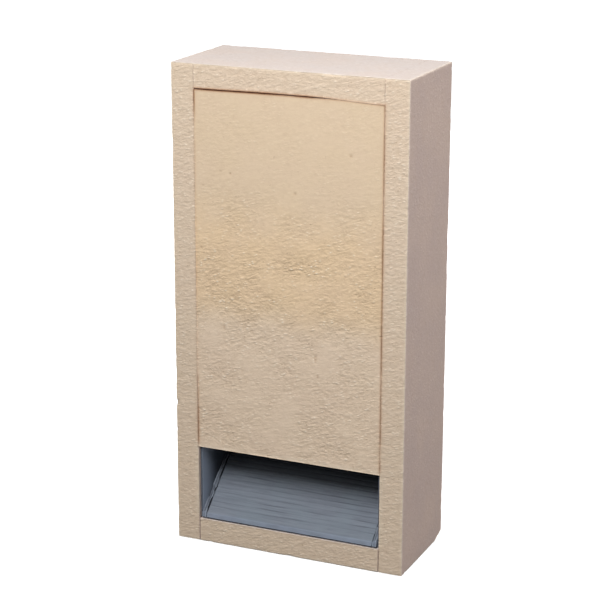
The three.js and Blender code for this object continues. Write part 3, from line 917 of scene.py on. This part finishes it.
def ply_piece(name, section, step_x, material, seed, grooves=((), 0, 0), nose=(), body="box"):
    """A sheet or batten with a section of given corners and steps across its node's width, and
    rough grain on it. Grooves are the numbers of their sides, their pitch and their depth. A nose
    is the number of the undercut side, darkened with painted shade, and of the rim over it, which
    is rubbed and painted lighter. A piece with a nose and no grooves is chewed on side 0."""
    low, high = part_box(name)
    corners, steps = section
    grooved, pitch, depth = grooves
    loop = section_loop(corners, steps, PLY_EASE)
    points, faces, outward, sides, along = swept_skin(loop, low[0], high[0], step_x, PLY_EASE)
    lengths = np.linalg.norm(np.roll(corners, -1, axis=0) - np.array(corners), axis=1)
    relief = GRAIN_DEPTH * (0.5 + 0.5 * noise(points, GRAIN_ACROSS, seed + 3))
    hollow = np.zeros(len(points))
    for side in grooved:
        here = sides == side
        groove = groove_relief(along[here], lengths[side], pitch, depth, points[here], seed)
        relief[here] += groove[0]
        hollow[here] = groove[1]
    from_corner = np.minimum(along, lengths[sides] - along)
    close = np.clip(1 - from_corner / RUBBED_REACH, 0, 1) ** 2
    if nose:
        # painted shade in the undercut below the nose, and painted light on the rim over it
        hollow[sides == nose[0]] = DARK_END_AND_UNDERCUT
        close[sides == nose[0]] = 0
        rim = sides == nose[1]
        close[rim] = 0.65 + 0.35 * noise(points[rim], RIM_RUB_AND_LIGHT_PATCH, seed + 4)
    if nose and not grooved:
        points, bite = chewed(points, sides == 0, low[0], high[0], seed)
        relief += BITE_DEPTH * bite
        hollow = np.maximum(hollow, BITE_GRAIN * bite)
    points = points - outward * relief[:, None]
    masks = {"hollow": hollow, "edge": close}
    make_piece(name, points, faces, body, material, masks)


def grooved_sheet(name, grooved, seed, body="box"):
    """An upright sheet with grooves across its front (side 0) or rear (side 2)."""
    low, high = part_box(name)
    corners = [(low[1], low[2]), (low[1], high[2]), (high[1], high[2]), (high[1], low[2])]
    steps = [SHEET_STEP if side in grooved else SHEET_ACROSS for side in range(4)]
    grooves = (grooved, LINING_PITCH, GROOVE_DEPTH)
    ply_piece(name, (corners, steps), SHEET_ACROSS, LINING_FINISH, seed, grooves, body=body)


def ramp_surface():
    """The ramp's front, rear and underside, the height of its nose, the rise of its surface for
    each unit of depth, and how far down a unit square to the slope reaches."""
    low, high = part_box("ramp_board")
    nose = low[2] + RAMP_NOSE
    slope = (high[2] - nose) / (high[1] - low[1])
    return low[1], high[1], low[2], nose, slope, math.hypot(1, slope)


def sloping_section(proud, thickness):
    """The corners of a board of the given thickness that lies along the ramp, its surface proud of
    the ramp's by the given height. It has a steeper nose, an undercut below it and a level seat."""
    front, rear, bottom, nose, slope, plumb = ramp_surface()
    top = nose + proud * plumb
    rear_top = top + slope * (rear - front)
    return [
        (front + NOSE_BEVEL, top + slope * NOSE_BEVEL),
        (rear, rear_top),
        (rear, rear_top - thickness * plumb),
        (front + (bottom - top + thickness * plumb) / slope, bottom),
        (front + RAMP_UNDERCUT, bottom),
        (front, bottom + RAMP_UNDERCUT),
    ]


def ramp_board():
    steps = [RAMP_STEP, SHEET_STEP, SHEET_ACROSS, SHEET_STEP, SHEET_STEP, SHEET_STEP]
    section = (sloping_section(0, RAMP_BOARD), steps)
    grooves = ([0], RAMP_PITCH, RAMP_GROOVE_DEPTH)
    ply_piece("ramp_board", section, RAMP_ACROSS, RAMP_FINISH, 81, grooves, nose=(4, 5))


def ramp_strip(name, seed):
    """A strip on edge beside the ramp board, chewed along its upper side."""
    section = (sloping_section(STRIP_PROUD, STRIP_HEIGHT), [BATTEN_STEP] * 6)
    ply_piece(name, section, SHEET_STEP, STRIP_FINISH, seed, nose=(4, 5))


def ramp_rest():
    """The batten under the ramp's upper end: its top follows the slope."""
    low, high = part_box("ramp_rest")
    slope = ramp_surface()[4]
    front_top = high[2] - slope * (high[1] - low[1])
    corners = [(low[1], front_top), (high[1], high[2]), (high[1], low[2]), (low[1], low[2])]
    ply_piece("ramp_rest", (corners, [BATTEN_STEP] * 4), SHEET_ACROSS, RAMP_FINISH, 95)


def side_lining(name, seed):
    """A sheet on a side wall. Its front edge steps back above the shoulder that the panel is on."""
    low, high = (np.array(corner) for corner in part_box(name))
    shoulder = PANEL_LOW[2] - PANEL_SEAT
    step_back = PANEL_HIGH[1] + PANEL_SEAT
    upright = grid_lines(low[2], shoulder, PLY_GRID, PLY_EASE)
    upright = np.concatenate([upright, grid_lines(shoulder, high[2], PLY_GRID, PLY_EASE)[1:]])
    deep = grid_lines(low[1], step_back, PLY_GRID, PLY_EASE)
    deep = np.concatenate([deep, grid_lines(step_back, high[1], PLY_GRID, PLY_EASE)[1:]])
    lines = [grid_lines(low[0], high[0], PLY_GRID, PLY_EASE), deep, upright]
    y, z = np.meshgrid(*[(places[1:] + places[:-1]) / 2 for places in lines[1:]], indexing="ij")
    filled = np.tile((z < shoulder) | (y > step_back), (len(lines[0]) - 1, 1, 1))
    points, faces, facing = skin_of_cells(lines, filled)
    points, outward = eased(points, facing, PLY_EASE)
    depth = GRAIN_DEPTH * (0.5 + 0.5 * noise(points, GRAIN_UPRIGHT, seed))
    close = (np.abs(facing).sum(axis=1) > 1).astype(float)
    points = points - outward * depth[:, None]
    end_grain = np.clip(-outward[:, 1], 0, 1)
    masks = {"hollow": DARK_END_AND_UNDERCUT * end_grain, "edge": close * (1 - end_grain)}
    make_piece(name, points, faces, "box", LINING_FINISH, masks)


# Screws

SCREW_SIDES = 48
FACE_RINGS = 22  # rings of points on the flat head, the cone and the shank
CONE_RINGS = 8
SHANK_RINGS = 190
SCREW_MIDDLE = 0.12 * MM  # radius of the flat in the middle of the head
SCREW_HEAD = 3.5 * MM
SCREW_HEAD_HEIGHT = 2.4 * MM
SCREW_SHANK = 1.55 * MM
SCREW_CORE = 1.15 * MM
SCREW_THREAD = 1.75 * MM
THREAD_PITCH = 2.2 * MM
THREAD_START = 12 * MM
THREAD_SHARPNESS = 3.2  # a ridge is down at the core after one turn divided by this
SCREW_POINT = 5 * MM
SCREW_TIP = 0.02  # share of the radius left at the very point
RECESS_LENGTH = 3.6 * MM
RECESS_WIDTH = 0.8 * MM
RECESS_DEPTH = 1.1 * MM
RECESS_WALL = (0.62, 0.42)  # shares of the bars between which it goes down


def screw(name):
    """A countersunk screw pointing to the rear, as radius and depth over an angle and a run.

    The run crosses the flat head to its rim, goes down the cone to the shank and along it to the
    point. The thread swells the core to the thread's radius where the depth in turns less the angle
    in turns is near a whole number. The recess presses the head's middle back where it is near
    either of two crossed bars.
    """
    low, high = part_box(name)
    length = high[1] - low[1]
    face = np.linspace(SCREW_MIDDLE, SCREW_HEAD, FACE_RINGS)
    cone = np.linspace(0, SCREW_HEAD_HEIGHT, CONE_RINGS)[1:]
    shank = np.linspace(SCREW_HEAD_HEIGHT, length, SHANK_RINGS)[1:]
    narrowing = SCREW_HEAD + (SCREW_SHANK - SCREW_HEAD) * cone / SCREW_HEAD_HEIGHT
    tapered = SCREW_SHANK * np.clip((length - shank) / SCREW_POINT, SCREW_TIP, 1)
    run_depth = np.concatenate([np.zeros(len(face)), cone, shank])
    run_radius = np.concatenate([face, narrowing, tapered])
    angle = np.linspace(0, 2 * math.pi, SCREW_SIDES, endpoint=False)
    depth, turn = np.meshgrid(run_depth, angle, indexing="ij")
    phase = depth / THREAD_PITCH - turn / (2 * math.pi)
    ridge = np.clip(1 - THREAD_SHARPNESS * np.abs(phase - np.round(phase)), 0, 1)
    threaded = smooth(depth, THREAD_START, THREAD_START + THREAD_PITCH)
    point = np.clip((length - depth) / SCREW_POINT, SCREW_TIP, 1)
    thread = (SCREW_CORE + (SCREW_THREAD - SCREW_CORE) * ridge) * point
    radius = run_radius[:, None] * (1 - threaded) + thread * threaded
    x, z = radius * np.cos(turn), radius * np.sin(turn)
    on_face = np.arange(len(run_depth))[:, None] < len(face)
    bars = np.minimum(
        np.maximum(np.abs(x) / RECESS_WIDTH, np.abs(z) / RECESS_LENGTH),
        np.maximum(np.abs(z) / RECESS_WIDTH, np.abs(x) / RECESS_LENGTH),
    )
    pressed = np.where(on_face, smooth(bars, *RECESS_WALL), 0)
    centre = [(low[0] + high[0]) / 2, low[1], (low[2] + high[2]) / 2]
    points = np.stack([x, depth + RECESS_DEPTH * pressed, z], axis=-1).reshape(-1, 3) + centre
    faces = ring_faces(len(run_depth), SCREW_SIDES)
    masks = {"hollow": pressed.reshape(-1)}
    make_piece(name, points, faces, "box", ZINC_FINISH, masks)


# The whole box

# The side and top boards share a seed, so that their relief runs on over the joints between them.
board("left_side_board", BOARD_GRID, 101, CLOSE_EASE)
board("right_side_board", BOARD_GRID, 101, CLOSE_EASE, warp=broken_corner)
board("top_board", BOARD_GRID, 101, CLOSE_EASE, (0.7, 0, 0), bowed_edge)
board("bottom_board", BOARD_GRID, 401, filled=(-1.3, 0, 0))
board("back_board", BACK_GRID, 501, CLOSE_EASE, (1, 0, 1))
front_panel()
side_lining("left_side_lining", 601)
side_lining("right_side_lining", 611)
grooved_sheet("panel_lining", [2], 621, "panel")
grooved_sheet("back_lining", [0], 631)
grooved_sheet("roost_partition", [0, 2], 641)
ramp_board()
ramp_strip("left_ramp_strip", 651)
ramp_strip("right_ramp_strip", 661)
ramp_rest()
for name in ("lower_left", "lower_right", "upper_left", "upper_right"):
    screw(name + "_screw")
for hand in ("left", "right"):
    for spot in ("front", "rear"):
        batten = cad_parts[f"{hand}_{spot}_spacer"]
        batten.data.materials.clear()
        batten.data.materials.append(LINING_FINISH)


# Studio

CAMERA_PLACE = (0.6626, -1.5185, 0.7147)
CAMERA_RIGHT = (0.91556, 0.40217, 0.00316)
CAMERA_UP = (-0.11802, 0.26116, 0.95805)
CAMERA_BACK = (0.38448, -0.87753, 0.28657)
CAMERA_LENS = 113.54
SENSOR = 36.0
FLOOR_HALF = 8.0
FLOOR_DROP = 0.4 * MM
FLOOR_DULL = (0.18, 0.18, 0.18)  # its tone for the light it throws back on the box
FLOOR_PALE = (0.85, 0.85, 0.85)  # and its tone for the camera
FLOOR_GLOW = (0.7, 1.0)  # which also sees it glow, near the box and away from it
FLOOR_CLEAR = (0.15, 0.9)  # distances over which the one glow turns into the other
SOFT_TONE = (1.0, 0.985, 0.97)  # light from all round
SOFT_POWER = 0.18
# Lamps: place, target, size and power
LAMPS = [
    ("key", (0.134, -0.901, 1.113), (0.0, 0.0, 0.2), 0.61, 13.2),
    ("overhead", (0.051, -0.376, 1.347), (0.0, 0.0, 0.44), 0.41, 0.9),
    ("right_fill", (1.25, 0.22, 1.05), (0.1, 0.0, 0.25), 0.4, 9.6),
    ("rear_fill", (-1.2, 1.3, 0.5), (0.0, 0.0, 0.25), 0.8, 18.0),
]


def camera():
    data = bpy.data.cameras.new("camera")
    data.lens, data.sensor_width = CAMERA_LENS, SENSOR
    data.clip_start, data.clip_end = 0.05, 100.0
    eye = bpy.data.objects.new("camera", data)
    axes = Matrix([CAMERA_RIGHT, CAMERA_UP, CAMERA_BACK]).transposed()
    eye.matrix_world = Matrix.LocRotScale(CAMERA_PLACE, axes.to_quaternion(), None)
    bpy.context.scene.collection.objects.link(eye)
    bpy.context.scene.camera = eye


def area_light(name, spot, target, size, power):
    """A square lamp at a spot, facing a target."""
    data = bpy.data.lights.new(name, "AREA")
    data.size, data.energy = size, power
    lamp = bpy.data.objects.new(name, data)
    turn = (Vector(spot) - Vector(target)).to_track_quat("Z", "Y")
    lamp.matrix_world = Matrix.LocRotScale(spot, turn, None)
    bpy.context.scene.collection.objects.link(lamp)


def white_ray(tree):
    """1 for the rays that see the surroundings white: the camera's, reflected and passed on."""
    path = place(tree, "ShaderNodeLightPath").outputs
    seen = calculate(tree, "MAXIMUM", path["Is Camera Ray"], path["Is Glossy Ray"])
    return calculate(tree, "MAXIMUM", seen, path["Is Transmission Ray"])


def colour_node(tree, kind, colour, **inputs):
    """The output of a shader node with a colour."""
    return place(tree, "ShaderNode" + kind, {"Color": (*colour, 1), **inputs}).outputs[0]


def floor():
    """A pale floor. The camera sees it brighter than it is, most of all away from the box, so that
    only the box's shadow shows."""
    mesh = bpy.data.meshes.new("floor")
    corners = [(-1, -1), (1, -1), (1, 1), (-1, 1)]
    points = [(x * FLOOR_HALF, y * FLOOR_HALF, -FLOOR_DROP) for x, y in corners]
    mesh.from_pydata(points, [], [(0, 1, 2, 3)])
    material = bpy.data.materials.new("floor")
    material.use_nodes = True
    tree = material.node_tree
    tree.nodes.clear()
    where = place(tree, "ShaderNodeTexCoord").outputs["Object"]
    distance = place(tree, "ShaderNodeVectorMath", {0: where}, operation="LENGTH").outputs["Value"]
    strength = ranged(tree, distance, *FLOOR_CLEAR, *FLOOR_GLOW)
    dull = colour_node(tree, "BsdfDiffuse", FLOOR_DULL)
    pale = colour_node(tree, "BsdfDiffuse", FLOOR_PALE)
    glow = colour_node(tree, "Emission", (1, 1, 1), Strength=strength)
    bright = place(tree, "ShaderNodeAddShader", {0: pale, 1: glow}).outputs[0]
    both = place(tree, "ShaderNodeMixShader", {0: white_ray(tree), 1: dull, 2: bright}).outputs[0]
    place(tree, "ShaderNodeOutputMaterial", {"Surface": both})
    mesh.materials.append(material)
    ground = bpy.data.objects.new("floor", mesh)
    bpy.context.scene.collection.objects.link(ground)


def surroundings():
    """Even soft light from all round. The camera, reflections and glass see plain white."""
    world = bpy.data.worlds.new("surroundings")
    bpy.context.scene.world = world
    world.use_nodes = True
    tree = world.node_tree
    tree.nodes.clear()
    soft = colour_node(tree, "Background", SOFT_TONE, Strength=SOFT_POWER)
    white = colour_node(tree, "Background", (1, 1, 1), Strength=1.0)
    both = place(tree, "ShaderNodeMixShader", {0: white_ray(tree), 1: soft, 2: white}).outputs[0]
    place(tree, "ShaderNodeOutputWorld", {"Surface": both})


camera()
floor()
surroundings()
for lamp in LAMPS:
    area_light(*lamp)
bpy.context.scene.view_settings.view_transform = "Standard"
